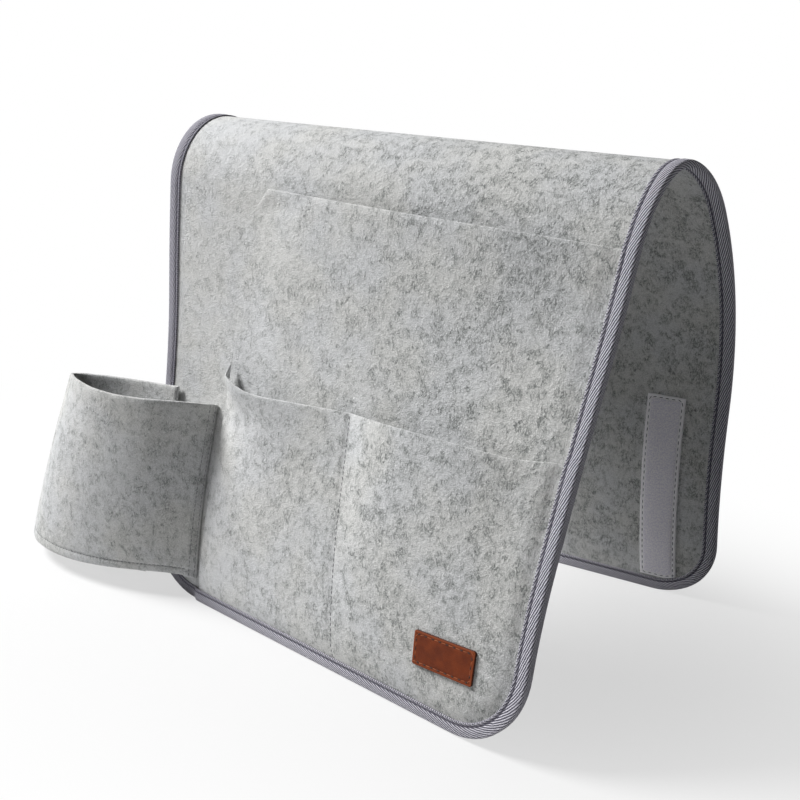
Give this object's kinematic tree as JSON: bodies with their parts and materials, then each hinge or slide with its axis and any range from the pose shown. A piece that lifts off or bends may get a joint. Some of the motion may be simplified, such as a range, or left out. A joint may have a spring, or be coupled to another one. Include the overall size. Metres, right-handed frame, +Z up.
{
  "type": "bedside caddy",
  "caption": "Folded felt caddy that hangs over a rail or stands on its legs, with flat pockets, a bottle sleeve and a bound edge.",
  "frame": {"origin": "on the floor under the middle of the whole part's box", "axes": "+X across the sheet towards the patch side, away from the bottle sleeve; -Y towards the front leg with the pockets; +Z up"},
  "size_m": [0.452, 0.2436, 0.3081],
  "materials": {
    "felt": "heathered pressed felt, light grey with darker flecks",
    "binding_tape": "diagonal twill tape, lilac grey",
    "leather": "smooth brown, dark cut edge",
    "loop_tape": "fuzzy loop side of a touch fastener, pale grey"
  },
  "bodies": {
    "front_leg": {"front_panel": "felt", "top_bend": "felt", "binding_front": "binding_tape", "binding_bend_left": "binding_tape", "binding_bend_right": "binding_tape", "magazine_pocket": "felt", "small_pocket": "felt", "bottle_sleeve": "felt", "sleeve_base": "felt", "leather_patch": "leather"},
    "rear_leg": {"rear_panel": "felt", "binding_rear": "binding_tape", "loop_strip_right": "loop_tape", "loop_strip_left": "loop_tape"}
  },
  "joints": [
    {"name": "top_bend_hinge", "type": "hinge", "parent": "front_leg", "child": "rear_leg", "pos_m": [0.061, 0.0157, 0.2891], "axis": [0.9977, 0.0607, -0.0306], "range_deg": [-30, 90], "stiffness_Nm_per_rad": 2, "deforming": ["top_bend", "binding_bend_left", "binding_bend_right"]}
  ]
}
